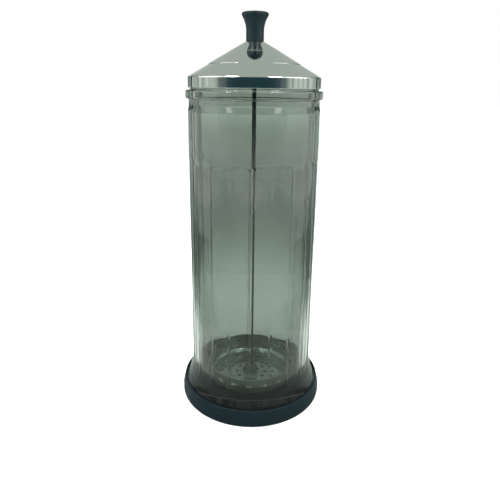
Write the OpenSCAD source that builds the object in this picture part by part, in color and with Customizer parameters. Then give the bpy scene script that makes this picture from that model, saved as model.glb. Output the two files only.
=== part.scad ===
// Lidded glass jar with a lift-out basket, for keeping small tools wet in a bath of liquid.
// The origin is the centre of the underside of the base, and +Z points up.
// Lengths are in millimetres. The jar stands in its base, and the knob lifts the lid, rod and basket out.

/* [Glass jar] */
// Outside diameter of the glass body
body_d = 94; // [80:1:120]
// Height of the rim above the surface that the jar stands on
rim_h = 245; // [190:1:300]
// Thickness of the wall of the body
glass_wall = 4.4; // [3:0.1:6]
// Thickness of the bottom
glass_bottom = 6; // [4:0.5:9]
// How far the push-up in the underside goes into the bottom
push_up = 1.2; // [0.5:0.1:2]
// Radius between the wall and the bottom, inside
inner_corner = 6; // [2:0.5:8]
// How far the foot stands out beyond the body
foot_over = 5; // [2:0.5:8]
// Height of the upright edge of the foot
foot_edge = 8.5; // [6:0.5:12]
// Height of the curve between the foot and the body
foot_flare = 19.5; // [12:0.5:28]

/* [Flutes] */
// Number of flat flutes round the body
flute_count = 20; // [12:1:28]
// Width of the ridge left between two flutes
flute_land = 1; // [0.6:0.1:2]
// Distance from the rim down to the top of the flutes
flute_drop = 55; // [45:1:80]
// Distance from the jar's underside up to the end of the flutes
flute_end = 16; // [12:0.5:22]

/* [Neck] */
// How far the neck is set in from the body
neck_inset = 1.65; // [1.2:0.05:2.2]
// Distance from the rim down to the flange
flange_drop = 9; // [8:0.5:12]
// Height of the flange
flange_h = 6; // [4:0.5:8]
// How far the flange stands out beyond the body
flange_over = 1.35; // [0.8:0.05:2.5]
// Height of the plain band under the flange
band_h = 4; // [2:0.5:6]
// How far the plain band is set in from the body
band_inset = 0.7; // [0.3:0.05:1.2]
// Height of the rounded shoulder under the band
shoulder_h = 4; // [2:0.5:8]

/* [Base] */
// Thickness of the floor of the base
base_floor = 3; // [2:0.5:5]
// How far the base stands out beyond the foot of the glass
base_over = 3; // [2:0.25:5]
// How far the lip of the base reaches above the upright edge of the foot
lip_over = 1; // [0.5:0.1:2.5]
// Width of the top of the lip
base_lip = 1.3; // [0.8:0.1:2]
// Depth of the recess in the underside
base_recess = 1; // [0.5:0.1:1.5]
// Width of the ring that the base stands on
base_ring = 8; // [5:0.5:12]

/* [Lid] */
// Thickness of the sheet
lid_sheet = 0.7; // [0.5:0.05:1]
// Height of the skirt, from its lower edge to the corner
skirt_h = 7.3; // [5:0.1:8]
// Slope of the cone from level, in degrees
lid_slope = 29.5; // [22:0.5:36]
// Diameter of the upper step in the cone
upper_step_d = 36; // [30:1:44]
// Diameter of the lower step in the cone
lower_step_d = 64; // [56:1:70]
// Height of the upper step
upper_step_h = 0.3; // [0.2:0.05:0.6]
// Height of the lower step
lower_step_h = 0.6; // [0.2:0.05:0.8]

/* [Knob] */
// Diameter of the top of the knob
knob_d = 18.6; // [14:0.2:24]
// Diameter of the waist of the knob
knob_waist_d = 12.3; // [11:0.1:13.5]
// Height of the knob
knob_h = 19.3; // [17:0.1:28]
// Height of the straight waist
waist_h = 7; // [4:0.5:9]
// Thickness of the rim of the knob
knob_rim = 2.2; // [1.6:0.1:3]
// Diameter of the threaded insert in the knob
insert_d = 6; // [5.5:0.1:8]
// Length of the threaded insert
insert_h = 10; // [6:0.5:12]

/* [Rod and fasteners] */
// Diameter of the rod, and of the thread at its ends
rod_d = 3; // [2.4:0.1:4]
// Length of rod thread inside the knob
thread_in_knob = 8; // [5:0.5:10]
// Width across the flats of the nuts
nut_af = 5.5; // [5:0.1:7]
// Height of the nuts
nut_h = 2.4; // [1.8:0.1:3]
// Diameter of the washers
washer_d = 9; // [7.6:0.1:12]
// Thickness of the washers
washer_t = 0.8; // [0.5:0.1:1.2]

/* [Basket] */
// Gap between the basket and the glass wall
basket_gap = 8.4; // [3:0.1:12]
// Height of the basket
basket_h = 15; // [12:0.5:30]
// Thickness of the sheet
basket_sheet = 0.6; // [0.4:0.05:1]
// Outside radius of the corner between the floor and the side
basket_corner = 3; // [1.5:0.25:4]
// Distance from the glass bottom up to the basket
basket_lift = 2; // [1:0.25:5]
// Number of drain slots round the side
slot_count = 18; // [10:1:22]
// Length of a drain slot
slot_l = 5; // [3:0.25:7]
// Height of a drain slot
slot_h = 2.2; // [1.5:0.1:3]
// Distance from the basket's rim down to the middle of the slots
slot_drop = 6; // [3:0.25:8]
// Diameter of the drain holes in the floor
drain_d = 3.4; // [2:0.1:4]
// Distance between the rings of drain holes
drain_pitch = 6.5; // [5:0.25:8]

/* [Clearances] */
// Between the lid's cone and the rim that it rests on
seat_gap = 0.25; // [0.1:0.05:0.4]
// Between the skirt and the neck, all round
skirt_gap = 0.5; // [0.3:0.05:1]
// Between the glass foot and the base, all round
foot_gap = 0.3; // [0.1:0.05:0.5]
// Between the rod and the hole in the lid, all round
rod_gap = 0.08; // [0.03:0.01:0.1]
// Between the rod's thread and the nuts, washers and insert
thread_gap = 0.04; // [0.02:0.01:0.1]
// End play of the lid between the knob and its washer
end_play = 0.15; // [0.05:0.05:0.3]

/* [Hidden] */
$fn = 96;
over = 1; // how far a cutter runs past what it cuts

// Radii of the glass
body_r = body_d / 2;
bore_r = body_r - glass_wall;
foot_r = body_r + foot_over;
neck_r = body_r - neck_inset;
band_r = body_r - band_inset;
flange_r = body_r + flange_over;

// Heights of the glass
jar_z = base_floor;
flare_z = jar_z + foot_edge;
flare_top_z = flare_z + foot_flare;
bottom_z = jar_z + glass_bottom;
flange_top_z = rim_h - flange_drop;
flange_z = flange_top_z - flange_h;
band_z = flange_z - band_h;
shoulder_z = band_z - shoulder_h;
lip_r = (neck_r - bore_r) / 2;
lip_z = rim_h - lip_r;
flare_curve = (foot_over * foot_over + foot_flare * foot_flare) / (2 * foot_over);
shoulder_curve = (band_inset * band_inset + shoulder_h * shoulder_h) / (2 * band_inset);
flange_round = 1.2;
foot_round = 1;
foot_ring = 6; // width of the ring that the glass stands on
push_up_run = 2; // run of the slope from that ring to the push-up

// Base: its lip closes in over the foot, along the curve of the glass
base_h = flare_z + lip_over;
base_r = foot_r + base_over;
lip_in_r = flare_r(base_h) + foot_gap;
lip_edge = 0.5; // chamfer on the lip
base_round = 1.2;
base_waist_z = base_h * 0.42; // top of the upright side
base_brow = 0.8; // how far the side leans in above that

// Flutes: a flat's chord is the pitch less the land
flute_angle = (360 / flute_count - flute_land / body_r * 180 / PI) / 2;
flute_flat_r = body_r * cos(flute_angle);
flute_half = body_r * sin(flute_angle);

knob_margin = 0.7; // how far the lid's flat crown shows round the knob

// Lid: the cone's underside lies seat_gap off the round lip of the glass
lid_r = neck_r + skirt_gap + lid_sheet;
crown_r = knob_waist_d / 2 + knob_margin;
sheet_rise = lid_sheet / cos(lid_slope);
seat_z = lip_z + (lip_r + seat_gap) / cos(lid_slope) + sheet_rise;
lip_mid_r = bore_r + lip_r;
lid_fall = tan(lid_slope);
corner_z = seat_z - (lid_r - lip_mid_r) * lid_fall;
skirt_z = corner_z - skirt_h;
lower_step_z = seat_z + (lip_mid_r - lower_step_d / 2) * lid_fall;
upper_step_z = lower_step_z + lower_step_h + (lower_step_d - upper_step_d) / 2 * lid_fall;
crown_z = upper_step_z + upper_step_h + (upper_step_d / 2 - crown_r) * lid_fall;
crown_under_z = crown_z - lid_sheet;
step_run = 0.3; // run of the slope of a step
step_shift = 0.5; // how far the inner face's step lies inside the outer face's
lid_round = 1.2; // radius of the corner over the skirt
lid_hole_r = rod_d / 2 + rod_gap;

// Knob
knob_z = crown_z + end_play;
knob_top_z = knob_z + knob_h;
knob_flare_h = knob_h - waist_h - knob_rim;
knob_flare_over = (knob_d - knob_waist_d) / 2;
knob_curve = (knob_flare_over * knob_flare_over + knob_flare_h * knob_flare_h) / (2 * knob_flare_over);
knob_sweep = asin(knob_flare_h / knob_curve);
knob_round = knob_rim * 0.45;
knob_edge = 0.4; // chamfer round the foot of the knob
knob_dome = 0.4;
insert_groove = 0.5;
insert_roof = 0.5; // room in the insert over the end of the rod

// Basket: the hub in its floor is raised over the lower nut
basket_r = bore_r - basket_gap;
basket_z = bottom_z + basket_lift;
basket_rim_z = basket_z + basket_h;
basket_floor_z = basket_z + basket_sheet;
nut_recess = 0.3; // how far the lower nut is set up into the hub
hub_margin = 1; // how far the hub shows round the washer
hub_side = 1; // run of the slope of the hub's side
hub_r = washer_d / 2 + hub_margin + hub_side;
hub_z = basket_floor_z + nut_h + washer_t + nut_recess;
drain_start = hub_r + (drain_pitch + drain_d) / 2;
drain_end = basket_r - basket_corner - drain_d / 2;
drain_rings = 1 + floor((drain_end - drain_start) / drain_pitch);

// Rod
rod_recess = 0.2; // how far the rod ends above the basket's underside
rod_z = basket_z + rod_recess;
rod_top_z = knob_z + thread_in_knob;
rod_chamfer = 0.4;
lid_washer_z = crown_under_z - end_play - washer_t;

// Radius of the glass at height z in the curve between foot and body
function flare_r(z) = body_r + flare_curve - sqrt(pow(flare_curve, 2) - pow(flare_top_z - z, 2));

// Points of a circular arc from angle a0 to angle a1 about (x, y)
function arc(x, y, r, a0, a1, n = 12) =
    [for (i = [0:n]) let (a = a0 + (a1 - a0) * i / n) [x + r * cos(a), y + r * sin(a)]];

// Points of a step in the cone, going outward, and the same coming back under it
function step(r, z, h) = [[r, z + h], [r + step_run, z]];
function step_back(r, z, h) = [[r + step_run, z], [r, z + h]];

// A plain ring
module ring(outer_r, inner_r, z, h) {
    translate([0, 0, z]) difference() {
        cylinder(r = outer_r, h = h);
        translate([0, 0, -over]) cylinder(r = inner_r, h = h + 2 * over);
    }
}

// A hexagon nut, tapped for the rod
module nut(z) {
    translate([0, 0, z]) difference() {
        intersection() {
            linear_extrude(nut_h) circle(r = nut_af / sqrt(3), $fn = 6);
            nut_chamfer();
        }
        translate([0, 0, -over]) cylinder(r = rod_d / 2 + thread_gap, h = nut_h + 2 * over);
    }
}

// The turned outline that takes the corners off a nut
module nut_chamfer() {
    corner = nut_af / sqrt(3);
    flat = nut_af / 2;
    drop = (corner - flat) * tan(30);
    rotate_extrude() polygon([
        [0, 0], [flat, 0], [corner, drop], [corner, nut_h - drop], [flat, nut_h], [0, nut_h]
    ]);
}

module washer(z) {
    ring(washer_d / 2, rod_d / 2 + thread_gap, z, washer_t);
}

// Moulded base: a tray that the glass foot is pushed into
module base_shoe() {
    color([0.05, 0.06, 0.065]) rotate_extrude($fn = 180) polygon(concat(
        [[0, base_recess], [base_r - base_ring - base_recess, base_recess], [base_r - base_ring, 0]],
        arc(base_r - base_round, base_round, base_round, -90, 0, 6),
        [[base_r, base_waist_z], [base_r - base_brow, (base_waist_z + base_h) / 2]],
        [[lip_in_r + base_lip, base_h - lip_edge], [lip_in_r + base_lip - lip_edge, base_h]],
        [[lip_in_r, base_h], [foot_r + foot_gap, flare_z], [foot_r + foot_gap, base_floor], [0, base_floor]]
    ));
}

// The turned outline of the jar, before the flutes
module glass_blank() {
    rotate_extrude($fn = 180) polygon(concat(
        [[0, jar_z + push_up], [foot_r - foot_ring - push_up_run, jar_z + push_up]],
        [[foot_r - foot_ring, jar_z]],
        arc(foot_r - foot_round, jar_z + foot_round, foot_round, -90, 0, 6),
        arc(body_r + flare_curve, flare_top_z, flare_curve, 180 + asin(foot_flare / flare_curve), 180, 14),
        arc(body_r - shoulder_curve, shoulder_z, shoulder_curve, 0, asin(shoulder_h / shoulder_curve), 6),
        [[band_r, flange_z]],
        arc(flange_r - flange_round, flange_z + flange_round, flange_round, -90, 0, 6),
        arc(flange_r - flange_round, flange_top_z - flange_round, flange_round, 0, 90, 6),
        [[neck_r, flange_top_z]],
        arc(lip_mid_r, lip_z, lip_r, 0, 180, 16),
        arc(bore_r - inner_corner, bottom_z + inner_corner, inner_corner, 0, -90, 10),
        [[0, bottom_z]]
    ));
}

// One flat flute with round ends, as a cutter
module flute_cutter() {
    low_z = jar_z + flute_end + flute_half;
    high_z = rim_h - flute_drop - flute_half;
    translate([flute_flat_r, 0, 0]) rotate([90, 0, 90]) linear_extrude(foot_over + over + 1) {
        translate([-flute_half, low_z]) square([2 * flute_half, high_z - low_z]);
        translate([0, low_z]) circle(r = flute_half, $fn = 48);
        translate([0, high_z]) circle(r = flute_half, $fn = 48);
    }
}

module glass_jar() {
    color([0.62, 0.68, 0.64, 0.45]) difference() {
        glass_blank();
        for (i = [0:flute_count - 1]) rotate([0, 0, (i + 0.5) * 360 / flute_count]) flute_cutter();
    }
}

// Spun lid: a stepped cone with a plain skirt and a turned-in hem
module lid() {
    in_r = lid_r - lid_sheet;
    in_corner_z = corner_z - sheet_rise + lid_sheet * lid_fall;
    in_round = lid_round - lid_sheet / 2;
    color([0.8, 0.82, 0.8]) difference() {
        rotate_extrude($fn = 180) polygon(concat(
            [[0, crown_z], [crown_r, crown_z]],
            step(upper_step_d / 2, upper_step_z, upper_step_h),
            step(lower_step_d / 2, lower_step_z, lower_step_h),
            [[lid_r - lid_round, corner_z + lid_round * lid_fall]],
            [[lid_r - lid_round * 0.3, corner_z - lid_round * 0.1], [lid_r, corner_z - lid_round * 0.8]],
            [[lid_r, skirt_z + lid_sheet / 2], [lid_r - lid_sheet / 2, skirt_z], [in_r, skirt_z]],
            [[in_r, in_corner_z - in_round], [in_r - in_round, in_corner_z + in_round * lid_fall]],
            step_back(lower_step_d / 2 - step_shift, lower_step_z - sheet_rise, lower_step_h),
            step_back(upper_step_d / 2 - step_shift, upper_step_z - sheet_rise, upper_step_h),
            [[crown_r, crown_under_z], [0, crown_under_z]]
        ));
        translate([0, 0, crown_under_z - over]) cylinder(r = lid_hole_r, h = lid_sheet + 2 * over);
    }
}

// Moulded knob, waisted under a flat top, with a blind hole for its insert
module knob() {
    top_r = knob_d / 2;
    waist_r = knob_waist_d / 2;
    hole_r = insert_d / 2 + thread_gap;
    color([0.06, 0.075, 0.08]) difference() {
        rotate_extrude($fn = 120) polygon(concat(
            [[0, knob_z], [waist_r - knob_edge, knob_z], [waist_r, knob_z + knob_edge]],
            arc(waist_r + knob_curve, knob_z + waist_h, knob_curve, 180, 180 - knob_sweep, 14),
            arc(top_r - knob_round, knob_top_z - knob_dome - knob_round, knob_round, 0, 90, 6),
            [[top_r / 2, knob_top_z - knob_dome / 4], [0, knob_top_z]]
        ));
        translate([0, 0, knob_z - over]) cylinder(r = hole_r, h = insert_h + over + thread_gap);
    }
}

// Brass insert moulded into the knob, grooved so that it can't pull out
module knob_insert() {
    r = insert_d / 2;
    hole_r = rod_d / 2 + thread_gap;
    color("goldenrod") rotate_extrude() polygon([
        [hole_r, knob_z], [r, knob_z],
        [r, knob_z + insert_h * 0.4], [r - insert_groove, knob_z + insert_h * 0.45],
        [r - insert_groove, knob_z + insert_h * 0.55], [r, knob_z + insert_h * 0.6],
        [r, knob_z + insert_h], [0, knob_z + insert_h],
        [0, rod_top_z + insert_roof], [hole_r, rod_top_z + insert_roof]
    ]);
}

// Drawn rod, threaded at both ends
module lift_rod() {
    color([0.6, 0.61, 0.6]) rotate_extrude() polygon([
        [0, rod_z], [rod_d / 2 - rod_chamfer, rod_z], [rod_d / 2, rod_z + rod_chamfer],
        [rod_d / 2, rod_top_z - rod_chamfer], [rod_d / 2 - rod_chamfer, rod_top_z], [0, rod_top_z]
    ]);
}

module lid_washer() {
    color("silver") washer(lid_washer_z);
}

module lid_nut() {
    color("silver") nut(lid_washer_z - nut_h);
}

// A slot through the side, as a cutter that points along +X
module slot_cutter() {
    depth = basket_corner + basket_sheet;
    half = (slot_l - slot_h) / 2;
    translate([basket_r - depth, 0, basket_rim_z - slot_drop])
    rotate([90, 0, 90]) linear_extrude(depth + over) {
        translate([-half, -slot_h / 2]) square([2 * half, slot_h]);
        for (side = [-1, 1]) translate([side * half, 0]) circle(r = slot_h / 2, $fn = 32);
    }
}

// Pressed basket: a shallow cup with a raised hub, a pierced floor and a slotted side
module basket() {
    bend_r = basket_r - basket_corner;
    bend_z = basket_z + basket_corner;
    color([0.62, 0.63, 0.62]) difference() {
        rotate_extrude($fn = 180) polygon(concat(
            [[0, hub_z - basket_sheet], [hub_r - hub_side, hub_z - basket_sheet], [hub_r, basket_z]],
            arc(bend_r, bend_z, basket_corner, -90, 0, 8),
            [[basket_r, basket_rim_z], [basket_r - basket_sheet, basket_rim_z]],
            arc(bend_r, bend_z, basket_corner - basket_sheet, 0, -90, 8),
            [[hub_r + basket_sheet, basket_floor_z], [hub_r + basket_sheet - hub_side, hub_z], [0, hub_z]]
        ));
        translate([0, 0, hub_z - basket_sheet - over])
            cylinder(r = rod_d / 2 + thread_gap, h = basket_sheet + 2 * over);
        for (i = [0:slot_count - 1]) rotate([0, 0, (i + 0.5) * 360 / slot_count]) slot_cutter();
        for (k = [0:drain_rings - 1]) let (n = 6 * k + 10)
            for (i = [0:n - 1]) rotate([0, 0, i * 360 / n])
                translate([drain_start + k * drain_pitch, 0, basket_z - over])
                    cylinder(r = drain_d / 2, h = basket_sheet + 2 * over, $fn = 32);
    }
}

module basket_upper_washer() {
    color("silver") washer(hub_z);
}

module basket_upper_nut() {
    color("silver") nut(hub_z + washer_t);
}

module basket_lower_washer() {
    color("silver") washer(hub_z - basket_sheet - washer_t);
}

module basket_lower_nut() {
    color("silver") nut(hub_z - basket_sheet - washer_t - nut_h);
}

base_shoe();
glass_jar();
lid();
knob();
knob_insert();
lift_rod();
lid_washer();
lid_nut();
basket();
basket_upper_washer();
basket_upper_nut();
basket_lower_washer();
basket_lower_nut();
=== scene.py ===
"""A tall fluted glass jar with a stepped steel lid and a lift-out basket, finished round its CAD frame."""
import math

import bmesh
import bpy
from mathutils import Matrix, Vector


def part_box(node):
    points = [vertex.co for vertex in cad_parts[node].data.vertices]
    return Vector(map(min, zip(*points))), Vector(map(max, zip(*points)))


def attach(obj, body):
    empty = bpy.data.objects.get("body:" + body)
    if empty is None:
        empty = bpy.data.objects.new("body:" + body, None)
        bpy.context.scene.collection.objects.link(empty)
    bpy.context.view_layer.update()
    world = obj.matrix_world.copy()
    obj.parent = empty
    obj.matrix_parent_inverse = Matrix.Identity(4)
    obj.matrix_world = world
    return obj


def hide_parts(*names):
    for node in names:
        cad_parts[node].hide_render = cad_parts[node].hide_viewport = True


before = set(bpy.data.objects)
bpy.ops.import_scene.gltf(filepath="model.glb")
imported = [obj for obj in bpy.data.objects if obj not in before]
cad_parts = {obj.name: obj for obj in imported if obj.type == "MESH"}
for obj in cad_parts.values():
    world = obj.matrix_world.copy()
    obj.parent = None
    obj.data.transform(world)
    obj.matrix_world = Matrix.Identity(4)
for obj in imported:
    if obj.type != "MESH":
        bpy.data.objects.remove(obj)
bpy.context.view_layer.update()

# ---------------------------------------------------------------- Base
# A shallow tray of moulded black rubber. The glass foot is pushed down into it, its lip
# closes over the edge of the foot, and it stands on a ring round its underside.
_, shoe_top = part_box("base_shoe")
shoe_r, shoe_h = shoe_top.x, shoe_top.z
foot_low, jar_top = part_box("glass_jar")
foot_r, rim_z = jar_top.x, jar_top.z
foot_over, foot_edge_h, foot_flare_h = 0.005, 0.0085, 0.0195
body_r = foot_r - foot_over
foot_edge_z = foot_low.z + foot_edge_h
flare_top_z = foot_edge_z + foot_flare_h
flare_curve = (foot_over ** 2 + foot_flare_h ** 2) / (2 * foot_over)


def flare_r(z):
    """Radius of the glass at height z, between the edge of the foot and the upright body."""
    if z >= flare_top_z:
        return body_r
    return body_r + flare_curve - math.sqrt(flare_curve ** 2 - (flare_top_z - z) ** 2)


def rounded(corners, steps=6):
    """An outline through corners (radius, height, fillet), with a round of that fillet at each.

    A point close on each side of a round keeps the straight parts flat under smooth shading."""
    points = [Vector(corner[:2]) for corner in corners]
    outline, taken = [], []
    for i, (_, _, fillet) in enumerate(corners):
        taken.append(0.0)
        if fillet and 0 < i < len(corners) - 1:
            half = (points[i - 1] - points[i]).angle(points[i + 1] - points[i]) / 2
            taken[i] = fillet / math.tan(half)
    for i, (_, _, fillet) in enumerate(corners):
        here = points[i]
        if not taken[i]:
            outline.append(here)
            continue
        back, ahead = (points[i - 1] - here), (points[i + 1] - here)
        room_back = back.length - taken[i - 1] - taken[i]
        room_ahead = ahead.length - taken[i + 1] - taken[i]
        back, ahead = back.normalized(), ahead.normalized()
        centre = here + (back + ahead).normalized() * math.hypot(fillet, taken[i])
        first = here + back * taken[i] - centre
        sweep = first.angle_signed(here + ahead * taken[i] - centre)
        if room_back > fillet * 0.3:
            outline.append(here + back * (taken[i] + fillet * 0.1))
        for k in range(steps + 1):
            outline.append(centre + Matrix.Rotation(-sweep * k / steps, 2) @ first)
        if room_ahead > fillet * 0.3:
            outline.append(here + ahead * (taken[i] + fillet * 0.1))
    return [(p.x, p.y) for p in outline]


def turned(outline, segments, closed=False):
    """Spins an outline about Z. It ends on the axis, or is closed on itself as a ring's section."""
    bm = bmesh.new()
    verts = [bm.verts.new((r, 0, z)) for r, z in outline]
    edges = [bm.edges.new(pair) for pair in zip(verts, verts[1:])]
    if closed:
        edges.append(bm.edges.new((verts[-1], verts[0])))
    bmesh.ops.spin(bm, geom=verts + edges, cent=(0, 0, 0), axis=(0, 0, 1), angle=2 * math.pi,
                   steps=segments, use_merge=True)
    bmesh.ops.remove_doubles(bm, verts=bm.verts, dist=1e-7)
    bmesh.ops.recalc_face_normals(bm, faces=bm.faces)
    return bm


def piece(bm, name, material, sharp=40):
    """Makes the bmesh an object, smooth but for its edges over sharp degrees."""
    mesh = bpy.data.meshes.new(name)
    bm.to_mesh(mesh)
    bm.free()
    mesh.shade_smooth()
    mesh.set_sharp_from_angle(angle=math.radians(sharp))
    mesh.materials.append(material)
    obj = bpy.data.objects.new(name, mesh)
    bpy.context.scene.collection.objects.link(obj)
    return obj


def material_named(name):
    """An empty material with a Principled shader: returns it, its nodes, its links and the shader."""
    mat = bpy.data.materials.new(name)
    mat.use_nodes = True
    return mat, mat.node_tree.nodes, mat.node_tree.links, mat.node_tree.nodes["Principled BSDF"]


def node_group(name, inputs, outputs):
    """A shader group with float inputs {name: value} and outputs {name: socket type}."""
    group = bpy.data.node_groups.new(name, "ShaderNodeTree")
    for label, value in inputs.items():
        socket = group.interface.new_socket(label, in_out="INPUT", socket_type="NodeSocketFloat")
        socket.default_value = value
    for label, kind in outputs.items():
        group.interface.new_socket(label, in_out="OUTPUT", socket_type=kind)
    nodes = group.nodes
    return group, nodes, group.links, nodes.new("NodeGroupInput"), nodes.new("NodeGroupOutput")


def use_group(nodes, group, **values):
    """Places the group in a material, with its inputs set by name."""
    node = nodes.new("ShaderNodeGroup")
    node.node_tree = group
    for label, value in values.items():
        node.inputs[label.replace("_", " ")].default_value = value
    return node


def mottle_group():
    """Soft patches and fine grain, as handling and dust leave on a moulded surface."""
    group, nodes, links, given, out = node_group(
        "mottle", {"Patch Scale": 60.0, "Grain Scale": 1500.0, "Low": 0.3, "High": 0.5},
        {"Patches": "NodeSocketFloat", "Grain": "NodeSocketFloat", "Roughness": "NodeSocketFloat"})
    where = nodes.new("ShaderNodeTexCoord")
    for label, scale, detail, to in (("Patches", "Patch Scale", 5.0, "Patches"),
                                     ("Grain", "Grain Scale", 2.0, "Grain")):
        tex = nodes.new("ShaderNodeTexNoise")
        tex.name = label
        tex.inputs["Detail"].default_value = detail
        links.new(where.outputs["Object"], tex.inputs["Vector"])
        links.new(given.outputs[scale], tex.inputs["Scale"])
        links.new(tex.outputs["Fac"], out.inputs[to])
    span = nodes.new("ShaderNodeMapRange")
    span.interpolation_type = "SMOOTHSTEP"
    span.inputs["From Min"].default_value = 0.35
    span.inputs["From Max"].default_value = 0.65
    links.new(nodes["Patches"].outputs["Fac"], span.inputs["Value"])
    links.new(given.outputs["Low"], span.inputs["To Min"])
    links.new(given.outputs["High"], span.inputs["To Max"])
    links.new(span.outputs["Result"], out.inputs["Roughness"])
    return group


mottle = mottle_group()


def two_tone(nodes, links, mask, first, second, target):
    """Mixes two colours by a mask into a colour socket."""
    mix = nodes.new("ShaderNodeMix")
    mix.data_type = "RGBA"
    mix.inputs["A"].default_value = (*first, 1)
    mix.inputs["B"].default_value = (*second, 1)
    links.new(mask, mix.inputs["Factor"])
    links.new(mix.outputs["Result"], target)


def raised(nodes, links, height, distance, target, strength=1.0):
    """A Bump node from a height, into a normal socket."""
    bump = nodes.new("ShaderNodeBump")
    bump.inputs["Distance"].default_value = distance
    bump.inputs["Strength"].default_value = strength
    links.new(height, bump.inputs["Height"])
    links.new(bump.outputs["Normal"], target)


def moulded_black(name, colour, bloom, low, high, grain):
    """Black moulding with a fine skin texture and a paler bloom in patches."""
    mat, nodes, links, shader = material_named(name)
    skin = use_group(nodes, mottle, Patch_Scale=70.0, Grain_Scale=1800.0, Low=low, High=high)
    two_tone(nodes, links, skin.outputs["Patches"], colour, bloom, shader.inputs["Base Color"])
    links.new(skin.outputs["Roughness"], shader.inputs["Roughness"])
    raised(nodes, links, skin.outputs["Grain"], grain, shader.inputs["Normal"], 0.5)
    shader.inputs["Specular IOR Level"].default_value = 0.22
    return mat


rubber = moulded_black("moulded rubber", (0.0012, 0.009, 0.014), (0.003, 0.013, 0.019), 0.42, 0.6, 0.00006)
shoe_gap = 0.0003
shoe_recess, shoe_ring, shoe_lip = 0.001, 0.008, 0.0013
shoe_lip_r, shoe_bore_r = flare_r(shoe_h) + shoe_gap, foot_r + shoe_gap
shoe_outline = rounded([
    (0, shoe_recess, 0), (shoe_r - shoe_ring - 0.001, shoe_recess, 0.0005), (shoe_r - shoe_ring, 0, 0.0006),
    (shoe_r, 0, 0.0014), (shoe_r, 0.0056, 0.004), (shoe_r - 0.0014, shoe_h - 0.0008, 0.001),
    (shoe_lip_r + shoe_lip, shoe_h, 0.0006), (shoe_lip_r, shoe_h, 0.0003),
    (shoe_bore_r, foot_edge_z, 0.0003), (shoe_bore_r, foot_low.z, 0.0004), (0, foot_low.z, 0)])
base_shoe = piece(turned(shoe_outline, 192), "base_shoe_moulding", rubber)
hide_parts("base_shoe")
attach(base_shoe, "jar")

# ---------------------------------------------------------------- Glass jar
# One piece of pressed soda-lime glass: a rounded rim, a flange that the lid stops short of, a
# plain band and shoulder, a ring of shallow flat flutes, and a flared foot with a push-up.
glass_wall, glass_bottom = 0.0044, 0.006
push_up, inner_corner = 0.0012, 0.006
bore_r = body_r - glass_wall
neck_r = body_r - 0.00165
band_r = body_r - 0.0007
flange_r = body_r + 0.00135
flange_top_z = rim_z - 0.009
flange_z = flange_top_z - 0.006
band_z = flange_z - 0.004
shoulder_z = band_z - 0.004
bottom_z = foot_low.z + glass_bottom
flute_count = 20
flute_pitch = 2 * math.pi / flute_count
flute_half = flute_pitch / 2 - 0.0002 / body_r
flute_edge = 0.0009 / body_r
flute_cut = 0.00022
flute_top_z = rim_z - 0.0552
flute_end_z = foot_low.z + 0.0165
segments_per_flute = 20
crest_pull = 0.72


def spread(low, high, count):
    """Heights from low to high, both left out, in count equal steps."""
    return [low + (high - low) * k / count for k in range(1, count)]


def smooth_share(value):
    """Eases 0..1 in and out, and holds it there."""
    value = min(max(value, 0.0), 1.0)
    return value * value * (3 - 2 * value)


def flute_depth(angle, z):
    """How far a flute is sunk at this place: even across, with soft sides and rounded ends."""
    across = abs((angle / flute_pitch) % 1 * flute_pitch - flute_pitch / 2)
    side = smooth_share((flute_half - across) / flute_edge)
    arch = 0.0026 * (across / flute_half) ** 3
    top = smooth_share((flute_top_z - arch - z) / 0.003)
    end = smooth_share((z - flute_end_z - arch) / 0.006)
    return flute_cut * side * top * end


jar_outline = rounded([
    (0, foot_low.z + push_up, 0), (foot_r - 0.008, foot_low.z + push_up, 0.001),
    (foot_r - 0.006, foot_low.z, 0.0015), (foot_r, foot_low.z, 0.001), (foot_r, foot_edge_z, 0)])
jar_outline += [(flare_r(z), z) for z in spread(foot_edge_z, flare_top_z, 22)]
jar_outline += [(body_r, z) for z in (flare_top_z, flare_top_z + 0.004)]
jar_outline += [(body_r, z) for z in spread(flare_top_z + 0.004, flute_top_z - 0.011, 6)]
jar_outline += [(body_r, z) for z in spread(flute_top_z - 0.011, flute_top_z + 0.001, 14)]
jar_outline += rounded([
    (body_r, flute_top_z + 0.001, 0), (body_r, shoulder_z, 0.004), (band_r, band_z, 0.0012),
    (band_r - 0.0001, flange_z, 0.0007), (flange_r, flange_z, 0.0014), (flange_r, flange_top_z, 0.0014),
    (neck_r, flange_top_z, 0.0006), (neck_r, rim_z, 0.00135), (bore_r, rim_z, 0.00135),
    (bore_r, bottom_z, inner_corner), (0, bottom_z, 0)], 8)

bm = turned(jar_outline, flute_count * segments_per_flute)
for v in bm.verts:
    radius = math.hypot(v.co.x, v.co.y)
    if radius < 1e-6:
        continue
    angle = math.atan2(v.co.y, v.co.x)
    phase = angle / flute_pitch - 0.5
    angle += crest_pull * math.sin(2 * math.pi * phase) / (2 * math.pi) * flute_pitch
    if radius > bore_r + 0.001 and flute_end_z < v.co.z < flute_top_z:
        radius -= flute_depth(angle, v.co.z)
    v.co.x, v.co.y = radius * math.cos(angle), radius * math.sin(angle)


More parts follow.
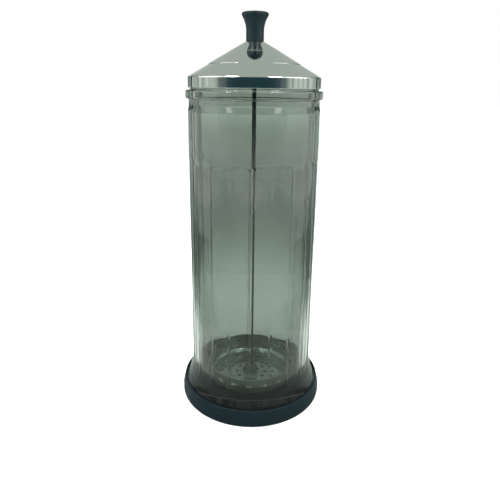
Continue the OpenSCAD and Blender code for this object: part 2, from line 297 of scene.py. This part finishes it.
def clear_glass():
    """Pressed glass: a grey-green tint, paler towards the top as painted light, a slow waviness and faint
    smears."""
    mat, nodes, links, shader = material_named("pressed glass")
    smear = use_group(nodes, mottle, Patch_Scale=22.0, Grain_Scale=400.0, Low=0.0, High=0.003)
    where = nodes.new("ShaderNodeTexCoord")
    parts = nodes.new("ShaderNodeSeparateXYZ")
    links.new(where.outputs["Object"], parts.inputs["Vector"])
    shifted = nodes.new("ShaderNodeMath")
    shifted.operation = "MULTIPLY_ADD"
    shifted.inputs[1].default_value = 0.03
    links.new(smear.outputs["Patches"], shifted.inputs[0])
    links.new(parts.outputs["Z"], shifted.inputs[2])
    # Painted light: the tint turns paler towards the top of the jar, to lighten its upper glass.
    paler_top_painted_light = nodes.new("ShaderNodeMapRange")
    paler_top_painted_light.inputs["From Min"].default_value = 0.16
    paler_top_painted_light.inputs["From Max"].default_value = 0.262
    links.new(shifted.outputs["Value"], paler_top_painted_light.inputs["Value"])
    two_tone(nodes, links, paler_top_painted_light.outputs["Result"], (0.320, 0.358, 0.327), (0.47, 0.52, 0.48),
             shader.inputs["Base Color"])
    links.new(smear.outputs["Roughness"], shader.inputs["Roughness"])
    wave = nodes.new("ShaderNodeTexNoise")
    wave.inputs["Scale"].default_value = 26.0
    wave.inputs["Detail"].default_value = 1.0
    links.new(where.outputs["Object"], wave.inputs["Vector"])
    raised(nodes, links, wave.outputs["Fac"], 0.00010, shader.inputs["Normal"])
    shader.inputs["Transmission Weight"].default_value = 1.0
    shader.inputs["IOR"].default_value = 1.5
    return mat


glass_jar = piece(bm, "glass_jar_pressed", clear_glass(), sharp=60)
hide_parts("glass_jar")
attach(glass_jar, "jar")

# ---------------------------------------------------------------- Basket
# A shallow cup pressed from thin stainless sheet, with short slots pierced round its side,
# drain holes in its floor, and a raised hub that hides the nut under it.
basket_low, basket_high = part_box("basket")
basket_r = basket_high.x
basket_z, basket_rim_z = basket_low.z, basket_high.z
basket_sheet = 0.0006
basket_bend = 0.003
hub_r = 0.0065
hub_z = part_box("basket_upper_washer")[0].z - basket_sheet
slot_count, slot_l, slot_h = 18, 0.005, 0.0022
slot_z = basket_rim_z - 0.006
drain_d, drain_pitch = 0.0034, 0.0065
drain_start = hub_r + (drain_pitch + drain_d) / 2
drain_rings = [(drain_start + k * drain_pitch, 6 * k + 10) for k in range(3)]
cell_half = 0.0026


def spun_strip(bm, outline, segments):
    """Spins an open outline into a band of faces and returns its first and last edge loops."""
    verts = [bm.verts.new((r, 0, z)) for r, z in outline]
    edges = [bm.edges.new(pair) for pair in zip(verts, verts[1:])]
    bmesh.ops.spin(bm, geom=verts + edges, cent=(0, 0, 0), axis=(0, 0, 1), angle=2 * math.pi,
                   steps=segments, use_merge=True)
    rims = [e for e in bm.edges if e.is_boundary]

    def loop_at(r, z):
        return [e for e in rims if all(abs(math.hypot(v.co.x, v.co.y) - r) < 1e-6
                                       and abs(v.co.z - z) < 1e-6 for v in e.verts)]
    return loop_at(*outline[0]), loop_at(*outline[-1])


def facing(turn):
    """The directions out from the axis and round it, at this angle."""
    return Vector((math.cos(turn), math.sin(turn), 0)), Vector((-math.sin(turn), math.cos(turn), 0))


def pierce(bm, centre, along, across, length, width):
    """Opens a round-ended slot in a patch of small faces, and draws its edge in to the true outline."""
    gone = []
    for f in bm.faces:
        off = f.calc_center_median() - centre
        inside_slot = abs(off.dot(along)) < length * 0.47 and abs(off.dot(across)) < width * 0.48
        if inside_slot and off.length < length:
            gone.append(f)
    bmesh.ops.delete(bm, geom=gone, context="FACES")
    for v in bm.verts:
        off = v.co - centre
        if not v.is_boundary or off.length > length * 0.75:
            continue
        core = max(-(length - width) / 2, min((length - width) / 2, off.dot(along)))
        side = Vector((off.dot(along) - core, off.dot(across)))
        if side.length > 1e-7:
            side *= width / 2 / side.length
            rest = off - along * off.dot(along) - across * off.dot(across)
            v.co = centre + along * (core + side.x) + across * side.y + rest


bm = bmesh.new()
rod_hole_r = 0.00155
hub = rounded([(rod_hole_r, hub_z, 0), (hub_r - 0.001, hub_z, 0.0006),
               (hub_r, basket_z, 0.0006), (hub_r + 0.0008, basket_z, 0)], 3)
_, last = spun_strip(bm, hub, drain_rings[0][1] * 4)
for ring_r, count in drain_rings:
    rows = [ring_r + cell_half * k / 2 for k in range(-2, 3)]
    first, outer = spun_strip(bm, [(r, basket_z) for r in rows], count * 4)
    bmesh.ops.bridge_loops(bm, edges=last + first)
    last = outer
    for i in range(count):
        out, onward = facing(2 * math.pi * i / count)
        pierce(bm, out * ring_r + Vector((0, 0, basket_z)), out, onward, drain_d, drain_d)
wall_rows = [slot_z + slot_h * k / 2 for k in range(-2, 3)]
wall = rounded([(basket_r - basket_bend - 0.0008, basket_z, 0), (basket_r, basket_z, basket_bend * 0.98),
                (basket_r, wall_rows[0], 0)], 5)
wall += [(basket_r, z) for z in wall_rows[1:]]
wall += [(basket_r, basket_rim_z - below) for below in (0.0012, 0.0003, 0)]
first, _ = spun_strip(bm, wall, slot_count * 10)
bmesh.ops.bridge_loops(bm, edges=last + first)
for i in range(slot_count):
    out, onward = facing(2 * math.pi * (i + 0.5) / slot_count)
    pierce(bm, out * basket_r + Vector((0, 0, slot_z)), onward, Vector((0, 0, 1)), slot_l, slot_h)
for v in bm.verts:
    if v.co.z > wall_rows[0] - slot_h / 2:
        v.co.xy = v.co.xy.normalized() * basket_r
bmesh.ops.remove_doubles(bm, verts=bm.verts, dist=1e-6)
bmesh.ops.recalc_face_normals(bm, faces=bm.faces)
if sum(f.normal.z * f.calc_area() for f in bm.faces) > 0:
    bmesh.ops.reverse_faces(bm, faces=bm.faces)


def streak_group():
    """Fine lines that run round the axis, as polishing and drawing leave on metal."""
    group, nodes, links, given, out = node_group(
        "turned streaks", {"Along": 900.0, "Round": 6.0}, {"Lines": "NodeSocketFloat"})
    where = nodes.new("ShaderNodeTexCoord")
    parts = nodes.new("ShaderNodeSeparateXYZ")
    links.new(where.outputs["Object"], parts.inputs["Vector"])
    flat = nodes.new("ShaderNodeCombineXYZ")
    links.new(parts.outputs["X"], flat.inputs["X"])
    links.new(parts.outputs["Y"], flat.inputs["Y"])
    radius = nodes.new("ShaderNodeVectorMath")
    radius.operation = "LENGTH"
    links.new(flat.outputs["Vector"], radius.inputs[0])
    turn = nodes.new("ShaderNodeVectorMath")
    turn.operation = "NORMALIZE"
    links.new(flat.outputs["Vector"], turn.inputs[0])
    slow = nodes.new("ShaderNodeVectorMath")
    slow.operation = "SCALE"
    links.new(turn.outputs["Vector"], slow.inputs[0])
    links.new(given.outputs["Round"], slow.inputs["Scale"])
    path = nodes.new("ShaderNodeMath")
    path.operation = "SUBTRACT"
    links.new(radius.outputs["Value"], path.inputs[0])
    links.new(parts.outputs["Z"], path.inputs[1])
    fast = nodes.new("ShaderNodeMath")
    fast.operation = "MULTIPLY"
    links.new(path.outputs["Value"], fast.inputs[0])
    links.new(given.outputs["Along"], fast.inputs[1])
    lift = nodes.new("ShaderNodeCombineXYZ")
    links.new(fast.outputs["Value"], lift.inputs["Z"])
    place = nodes.new("ShaderNodeVectorMath")
    links.new(slow.outputs["Vector"], place.inputs[0])
    links.new(lift.outputs["Vector"], place.inputs[1])
    tex = nodes.new("ShaderNodeTexNoise")
    tex.inputs["Scale"].default_value = 1.0
    tex.inputs["Detail"].default_value = 3.0
    links.new(place.outputs["Vector"], tex.inputs["Vector"])
    links.new(tex.outputs["Fac"], out.inputs["Lines"])
    return group


streaks = streak_group()


def steel(name, colour, dull, low, high, along, around, depth):
    """Steel with fine lines round the axis, and duller patches where it has been handled or wet."""
    mat, nodes, links, shader = material_named(name)
    film = use_group(nodes, mottle, Patch_Scale=45.0, Grain_Scale=900.0, Low=low, High=high)
    lines = use_group(nodes, streaks, Along=along, Round=around)
    two_tone(nodes, links, film.outputs["Patches"], colour, dull, shader.inputs["Base Color"])
    links.new(film.outputs["Roughness"], shader.inputs["Roughness"])
    raised(nodes, links, lines.outputs["Lines"], depth, shader.inputs["Normal"], 0.4)
    shader.inputs["Metallic"].default_value = 1.0
    return mat


satin_steel = steel("satin steel", (0.74, 0.80, 0.76), (0.58, 0.64, 0.60), 0.34, 0.5, 1600.0, 9.0, 0.00002)
# Painted light: the floor's steel is smoother, and its colour is painted paler than the satin steel so that
# its highlights show brighter.
smooth_floor_steel_painted_light = steel("smooth steel painted paler as light", (0.86, 0.93, 0.89), (0.62, 0.70, 0.66), 0.08, 0.2, 1600.0, 9.0, 0.00002)
# Painted shade: the inside of the basket's wall is coloured dark, standing for the shade inside the cup.
inner_wall_painted_shade = steel("steel painted dark as shade", (0.16, 0.20, 0.19), (0.24, 0.29, 0.27), 0.2, 0.34, 1600.0, 9.0, 0.00002)
basket = piece(bm, "basket_pressing", satin_steel)
# Solidify gives the inner side of a face the next finish: steel painted dark as shade for the wall, and
# smoother steel painted paler as light for the floor.
for finish in (inner_wall_painted_shade, satin_steel, smooth_floor_steel_painted_light):
    basket.data.materials.append(finish)
floor_finish = 2
for face in basket.data.polygons:
    if face.center.z < basket_z + basket_bend:
        face.material_index = floor_finish
smoother = basket.modifiers.new("smooth", "SUBSURF")
smoother.levels = smoother.render_levels = 1
sheet = basket.modifiers.new("sheet", "SOLIDIFY")
sheet.thickness, sheet.offset = basket_sheet, -1
sheet.material_offset = 1
edge = basket.modifiers.new("edge", "BEVEL")
edge.width, edge.segments = 0.00012, 2
edge.limit_method, edge.angle_limit = "ANGLE", math.radians(60)
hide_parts("basket")
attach(basket, "carrier")

# ---------------------------------------------------------------- Basket's nuts and washers
# Plated M3 hardware: a nut and washer on each side of the hub clamp the basket to the rod.
plated = steel("plated steel", (0.52, 0.56, 0.54), (0.42, 0.46, 0.44), 0.22, 0.42, 2600.0, 30.0, 0.00001)


def refinish(node, material):
    """Gives a CAD node that keeps its own shape a better material."""
    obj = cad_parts[node]
    obj.data.materials.clear()
    obj.data.materials.append(material)


for node in ("basket_lower_nut", "basket_lower_washer", "basket_upper_washer", "basket_upper_nut"):
    refinish(node, plated)

# ---------------------------------------------------------------- Rod
# Drawn stainless rod, 3 mm thick, with a rolled thread at each end: the lower one takes the
# basket's nuts, the upper one passes through the lid and screws into the knob.
rod_low, rod_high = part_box("lift_rod")
rod_r = rod_high.x
thread_pitch, thread_depth = 0.0005, 0.0003
lower_thread_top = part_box("basket_upper_nut")[1].z + 0.006
upper_thread_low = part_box("lid_nut")[0].z - 0.006
root_r = rod_r - thread_depth


def thread(bm, low, high):
    """Winds one ridge of a right-hand thread round the rod from low to high."""
    steps_per_turn = 20
    turns = int((high - low) / thread_pitch)
    section = [(root_r - 0.0001, -0.00022), (rod_r, 0), (root_r - 0.0001, 0.00022)]
    ridge = bm.faces.new([bm.verts.new((r, 0, low + z)) for r, z in section])
    bmesh.ops.spin(bm, geom=[ridge, *ridge.edges, *ridge.verts], cent=(0, 0, 0), axis=(0, 0, 1),
                   dvec=(0, 0, thread_pitch / steps_per_turn), angle=2 * math.pi * turns,
                   steps=steps_per_turn * turns)


bm = turned(rounded([
    (0, rod_low.z, 0), (root_r - 0.0003, rod_low.z, 0), (root_r, rod_low.z + 0.0003, 0),
    (root_r, lower_thread_top, 0), (rod_r, lower_thread_top + 0.0004, 0.0003),
    (rod_r, upper_thread_low - 0.0004, 0.0003), (root_r, upper_thread_low, 0),
    (root_r, rod_high.z, 0), (0, rod_high.z, 0)]), 32)
thread(bm, rod_low.z + 0.0004, lower_thread_top)
thread(bm, upper_thread_low, rod_high.z - 0.0006)
bmesh.ops.recalc_face_normals(bm, faces=bm.faces)
# Painted shade: the rod's steel is coloured nearly black, which darkens what it reflects.
rod_steel_painted_dark = steel("rod steel painted dark", (0.05, 0.07, 0.07), (0.10, 0.125, 0.125), 0.22, 0.4, 2200.0, 60.0, 0.00001)
lift_rod = piece(bm, "lift_rod_drawn", rod_steel_painted_dark, sharp=50)
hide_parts("lift_rod")
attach(lift_rod, "carrier")

# ---------------------------------------------------------------- Lid
# Thin stainless sheet spun to a stepped cone with a plain skirt and polished to a mirror. It
# rests on the rim of the glass, and its centre hole lets the rod through.
lid_low, lid_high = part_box("lid")
lid_r, skirt_z, crown_z = lid_high.x, lid_low.z, lid_high.z
lid_sheet = 0.0007
corner_z = skirt_z + 0.0073
lid_fall = math.tan(math.radians(29.5))
crown_r = 0.00685
lower_step_r, upper_step_r = 0.032, 0.018
lower_step_h, upper_step_h = 0.0006, 0.0003
sheet_rise = lid_sheet / math.cos(math.atan(lid_fall))


def cone(height_down, inward):
    """The outline of the stepped cone from crown to skirt, dropped by height_down and set in by inward."""
    low_step_z = corner_z + (lid_r - lower_step_r) * lid_fall - height_down
    high_step_z = low_step_z + lower_step_h + (lower_step_r - upper_step_r) * lid_fall
    low_r, high_r = lower_step_r - inward, upper_step_r - inward
    return [
        (high_r, high_step_z + upper_step_h, 0.0005), (high_r + 0.0003, high_step_z, 0.0004),
        (low_r, low_step_z + lower_step_h, 0.0006), (low_r + 0.0003, low_step_z, 0.0005)]


outside = [(crown_r, crown_z, 0.002)] + cone(0, 0) + [
    (lid_r, corner_z, 0.0014), (lid_r, skirt_z, 0.0003)]
inside_r = lid_r - lid_sheet
inside = [(crown_r, crown_z - lid_sheet, 0.002)] + cone(sheet_rise, 0.0005) + [
    (inside_r, corner_z - sheet_rise + lid_sheet * lid_fall, 0.0008), (inside_r, skirt_z, 0.0003)]
hole_r = rod_r + 0.00008
hole_top, hole_end = [(hole_r, crown_z, 0)], [(hole_r, crown_z - lid_sheet, 0)]
lid_outline = rounded(hole_top + outside + inside[::-1] + hole_end, 5)
polished = steel("polished steel", (0.71, 0.74, 0.70), (0.67, 0.70, 0.66), 0.035, 0.09, 700.0, 5.0, 0.000004)
lid = piece(turned(lid_outline, 224, closed=True), "lid_spinning", polished, sharp=50)
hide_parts("lid")
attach(lid, "lid")

# ---------------------------------------------------------------- Lid's nut and washer
# The nut and washer under the crown trap the lid on the rod, with a little end play.
for node in ("lid_washer", "lid_nut"):
    refinish(node, plated)

# ---------------------------------------------------------------- Knob's insert
# A turned brass bush, grooved and moulded into the knob, that the rod screws into.
brass, nodes, links, shader = material_named("turned brass")
lathe_marks = use_group(nodes, streaks, Along=3000.0, Round=10.0)
two_tone(nodes, links, lathe_marks.outputs["Lines"], (0.60, 0.42, 0.16), (0.78, 0.58, 0.27),
         shader.inputs["Base Color"])
raised(nodes, links, lathe_marks.outputs["Lines"], 0.00002, shader.inputs["Normal"])
shader.inputs["Metallic"].default_value = 1.0
shader.inputs["Roughness"].default_value = 0.3
refinish("knob_insert", brass)

# ---------------------------------------------------------------- Knob
# Black plastic, moulded over its brass insert: a straight waist that flares to a flat top
# with a rounded rim, a little crowned so that it doesn't look hollow.
knob_low, knob_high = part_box("knob")
knob_z, knob_top_z, knob_r = knob_low.z, knob_high.z, knob_high.y
waist_r, waist_top_z = 0.00615, knob_z + 0.007
knob_rim, knob_dome = 0.0022, 0.0004
flare_h = knob_top_z - knob_rim - waist_top_z
flare_over = knob_r - waist_r
knob_curve = (flare_over ** 2 + flare_h ** 2) / (2 * flare_over)
insert_r, insert_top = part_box("knob_insert")[1].x + 0.00004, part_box("knob_insert")[1].z + 0.00004
knob_flare = [(waist_r + knob_curve - math.sqrt(knob_curve ** 2 - (z - waist_top_z) ** 2), z)
              for z in spread(waist_top_z, waist_top_z + flare_h, 12)]
knob_outline = rounded([
    (insert_r, knob_z, 0), (waist_r, knob_z, 0.0005), (waist_r, waist_top_z - 0.001, 0)])
knob_outline += knob_flare
knob_outline += rounded([
    (knob_r - 0.0001, waist_top_z + flare_h, 0), (knob_r, knob_top_z - knob_dome, 0.0011),
    (knob_r / 2, knob_top_z - knob_dome / 4, 0.004), (0, knob_top_z, 0)])
knob_outline += [(0, insert_top), (insert_r, insert_top)]
plastic = moulded_black("moulded plastic", (0.0045, 0.015, 0.020), (0.008, 0.020, 0.026), 0.3, 0.5, 0.00003)
knob = piece(turned(knob_outline, 96, closed=True), "knob_moulding", plastic)
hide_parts("knob")
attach(knob, "carrier")

# ---------------------------------------------------------------- Camera
# It stands a forearm's length away and a little above the lid, tilted down at the jar.
camera_away, camera_h = 0.34245, 0.23934
camera_turn, camera_tilt, camera_roll = math.radians(1.7), math.radians(14.863), math.radians(0.716)
camera_data = bpy.data.cameras.new("camera")
camera_data.sensor_width = 36
camera_data.lens = 33.79
camera_data.shift_x, camera_data.shift_y = -0.0057, -0.08
camera_data.clip_start, camera_data.clip_end = 0.01, 20
camera = bpy.data.objects.new("camera", camera_data)
camera.matrix_world = (
    Matrix.Rotation(camera_turn, 4, "Z") @ Matrix.Translation((0, -camera_away, camera_h))
    @ Matrix.Rotation(math.pi / 2 - camera_tilt, 4, "X") @ Matrix.Rotation(camera_roll, 4, "Z"))
bpy.context.scene.collection.objects.link(camera)
bpy.context.scene.camera = camera

# ---------------------------------------------------------------- Floor and light
# A white floor in a room with uneven pale walls, with soft lights in pairs at the sides. Shaded
# cards that only reflections and glass show give the glass and the polished steel their dark
# edges and bands.
bm = bmesh.new()
bmesh.ops.create_grid(bm, x_segments=1, y_segments=1, size=6)
floor_mat, nodes, links, shader = material_named("white floor")
shader.inputs["Roughness"].default_value = 0.9
shader.inputs["Specular IOR Level"].default_value = 0.1
shader.inputs["Base Color"].default_value = (0.8, 0.8, 0.8, 1)
floor = piece(bm, "floor", floor_mat)


def rays(nodes, links, *kinds):
    """1 for rays of any of these kinds, and 0 for the others."""
    path = nodes.new("ShaderNodeLightPath")
    result = path.outputs[f"Is {kinds[0]} Ray"]
    for kind in kinds[1:]:
        either = nodes.new("ShaderNodeMath")
        either.operation = "MAXIMUM"
        links.new(result, either.inputs[0])
        links.new(path.outputs[f"Is {kind} Ray"], either.inputs[1])
        result = either.outputs["Value"]
    return result


glow = nodes.new("ShaderNodeEmission")
glow.inputs["Color"].default_value = (1, 1, 1, 1)
glow_level = nodes.new("ShaderNodeMath")
glow_level.operation = "MULTIPLY"
glow_level.inputs[1].default_value = 0.56
links.new(rays(nodes, links, "Camera", "Glossy", "Transmission"), glow_level.inputs[0])
links.new(glow_level.outputs["Value"], glow.inputs["Strength"])
both = nodes.new("ShaderNodeAddShader")
links.new(shader.outputs["BSDF"], both.inputs[0])
links.new(glow.outputs["Emission"], both.inputs[1])
links.new(both.outputs["Shader"], nodes["Material Output"].inputs["Surface"])

world = bpy.data.worlds.new("room")
bpy.context.scene.world = world
world.use_nodes = True
nodes, links = world.node_tree.nodes, world.node_tree.links
where = nodes.new("ShaderNodeTexCoord")
parts = nodes.new("ShaderNodeSeparateXYZ")
links.new(where.outputs["Generated"], parts.inputs["Vector"])
rise = nodes.new("ShaderNodeMapRange")
rise.interpolation_type = "SMOOTHSTEP"
rise.inputs["From Min"].default_value = 0.12
rise.inputs["From Max"].default_value = 0.34
rise.inputs["To Max"].default_value = 0.5
links.new(parts.outputs["Z"], rise.inputs["Value"])
flat = nodes.new("ShaderNodeCombineXYZ")
links.new(parts.outputs["X"], flat.inputs["X"])
links.new(parts.outputs["Y"], flat.inputs["Y"])
walls = nodes.new("ShaderNodeTexNoise")
walls.inputs["Scale"].default_value = 7.0
walls.inputs["Detail"].default_value = 3.0
links.new(flat.outputs["Vector"], walls.inputs["Vector"])
uneven = nodes.new("ShaderNodeMapRange")
uneven.inputs["From Min"].default_value = 0.38
uneven.inputs["From Max"].default_value = 0.6
uneven.inputs["To Min"].default_value = 0.35
uneven.inputs["To Max"].default_value = 0.8
links.new(walls.outputs["Fac"], uneven.inputs["Value"])
links.new(uneven.outputs["Result"], rise.inputs["To Min"])
straight = rays(nodes, links, "Camera", "Transmission")
strength = nodes.new("ShaderNodeMath")
strength.operation = "MAXIMUM"
links.new(straight, strength.inputs[0])
links.new(rise.outputs["Result"], strength.inputs[1])
room = nodes["Background"]
links.new(strength.outputs["Value"], room.inputs["Strength"])
two_tone(nodes, links, straight, (0.90, 1, 0.94), (1, 1, 1), room.inputs["Color"])


def soft_light(name, place, target, width, height, power, unseen=()):
    """A rectangular soft light that faces a point. It is kept out of the unseen kinds of ray."""
    data = bpy.data.lights.new(name, "AREA")
    data.shape = "RECTANGLE"
    data.size, data.size_y, data.energy = width, height, power
    obj = bpy.data.objects.new(name, data)
    aim = (Vector(place) - Vector(target)).to_track_quat("Z", "Y")
    obj.matrix_world = Matrix.Translation(place) @ aim.to_matrix().to_4x4()
    bpy.context.scene.collection.objects.link(obj)
    for kind in unseen:
        setattr(obj, "visible_" + kind, False)


def card(name, place, turn, size, shade, across, up):
    """A card that only reflections and glass show; its edges fade out by the stops given."""
    bm = bmesh.new()
    bmesh.ops.create_grid(bm, x_segments=1, y_segments=1, size=0.5)
    place_card = Matrix.Translation(place) @ turn @ Matrix.Diagonal((*size, 1, 1))
    bmesh.ops.transform(bm, verts=bm.verts, matrix=place_card)
    mat, nodes, links, shader = material_named(name)
    shader.inputs["Base Color"].default_value = (*shade, 1)
    shader.inputs["Roughness"].default_value = 1.0
    shader.inputs["Specular IOR Level"].default_value = 0.0
    where = nodes.new("ShaderNodeTexCoord")
    parts = nodes.new("ShaderNodeSeparateXYZ")
    links.new(where.outputs["Generated"], parts.inputs["Vector"])
    fade = nodes.new("ShaderNodeMath")
    fade.operation = "MULTIPLY"
    along = turn @ Vector((1, 0, 0))
    upward = "Y" if abs((turn @ Vector((0, 1, 0))).z) < 0.5 else "Z"
    for slot, axis, stops in ((0, "X" if abs(along.x) > 0.5 else "Y", across), (1, upward, up)):
        ramp = nodes.new("ShaderNodeValToRGB")
        ramp.color_ramp.interpolation = "EASE"
        while len(ramp.color_ramp.elements) < len(stops):
            ramp.color_ramp.elements.new(0.5)
        for element, (at, value) in zip(ramp.color_ramp.elements, stops):
            element.position, element.color = at, (value, value, value, 1)
        links.new(parts.outputs[axis], ramp.inputs["Fac"])
        links.new(ramp.outputs["Color"], fade.inputs[slot])
    links.new(fade.outputs["Value"], shader.inputs["Alpha"])
    obj = piece(bm, name, mat)
    obj.visible_camera = obj.visible_diffuse = obj.visible_shadow = False
    return obj


for side, name in ((-1, "left"), (1, "right")):
    soft_light(f"{name} soft light", (side * 0.95, -0.2, 0.75), (0, 0, 0.15), 0.9, 0.9, 1.8)
    soft_light(f"{name} strip light", (side * 0.73, -0.34, 0.46), (0, 0, 0.2), 1.4, 0.03, 1.1)
    soft_light(f"{name} key light", (side * 0.4, -0.45, 0.75), (0, 0, 0.02), 0.25, 0.25, 3.4)
floor_only = ("camera", "glossy", "transmission")
soft_light("back light", (0, 0.22, 0.25), (0, 0.16, 0), 0.3, 0.1, 1.5, floor_only)
soft_light("floor wash", (0, 4.2, 1.2), (0, 4.2, 0), 3.5, 2.8, 40.0, floor_only)

upright, lying = Matrix.Rotation(math.pi / 2, 4, "X"), Matrix.Identity(4)
grey_card = (0.17, 0.20, 0.185)
soft_ends = ((0.0, 0.0), (0.2, 1.0), (0.8, 1.0), (1.0, 0.0))
soft_top = ((0.0, 1.0), (0.6, 1.0), (1.0, 0.0))
card("front card", (0, -0.48, 0.5), upright, (2.4, 1.0), (0.02, 0.05, 0.065),
     ((0.1, 0.0), (0.26, 0.85), (0.4, 1.0), (0.6, 1.0), (0.74, 0.85), (0.9, 0.0)),
     ((0.08, 0.0), (0.22, 1.0), (0.28, 1.0), (0.45, 0.3), (0.65, 0.0)))
floor_card = card("floor card", (0, 0, 0.001), lying, (1.6, 1.6), (0.34, 0.39, 0.36), soft_ends, soft_ends)
floor_card.visible_transmission = False
back_floor_card = card("back floor card", (0, 0.73, 0.0008), lying, (3.0, 1.34), (0.5, 0.55, 0.52),
                       soft_ends, ((0.0, 0.0), (0.2, 0.55), (0.5, 0.45), (1.0, 0.0)))
back_floor_card.visible_glossy = False
for side in (-1, 1):
    along_side = Matrix.Rotation(math.pi / 2, 4, "Z") @ upright
    slanted = Matrix.Rotation(-side * math.radians(56), 4, "Z") @ upright
    card(f"side card {side}", (side * 0.22, 0.38, 0.25), along_side, (0.46, 0.5), grey_card,
         ((0.0, 1.0), (0.7, 1.0), (1.0, 0.0)), soft_top)
    card(f"side floor card {side}", (side * 0.29, 0.16, 0.0012), lying, (0.36, 0.6), grey_card,
         soft_ends, soft_ends)
    card(f"edge card {side}", (side * 0.22, 0.14, 0.25), slanted, (0.022, 0.5), (0.01, 0.01, 0.01),
         ((0.0, 1.0), (1.0, 1.0)), soft_top)

bpy.context.scene.view_settings.view_transform = "Standard"
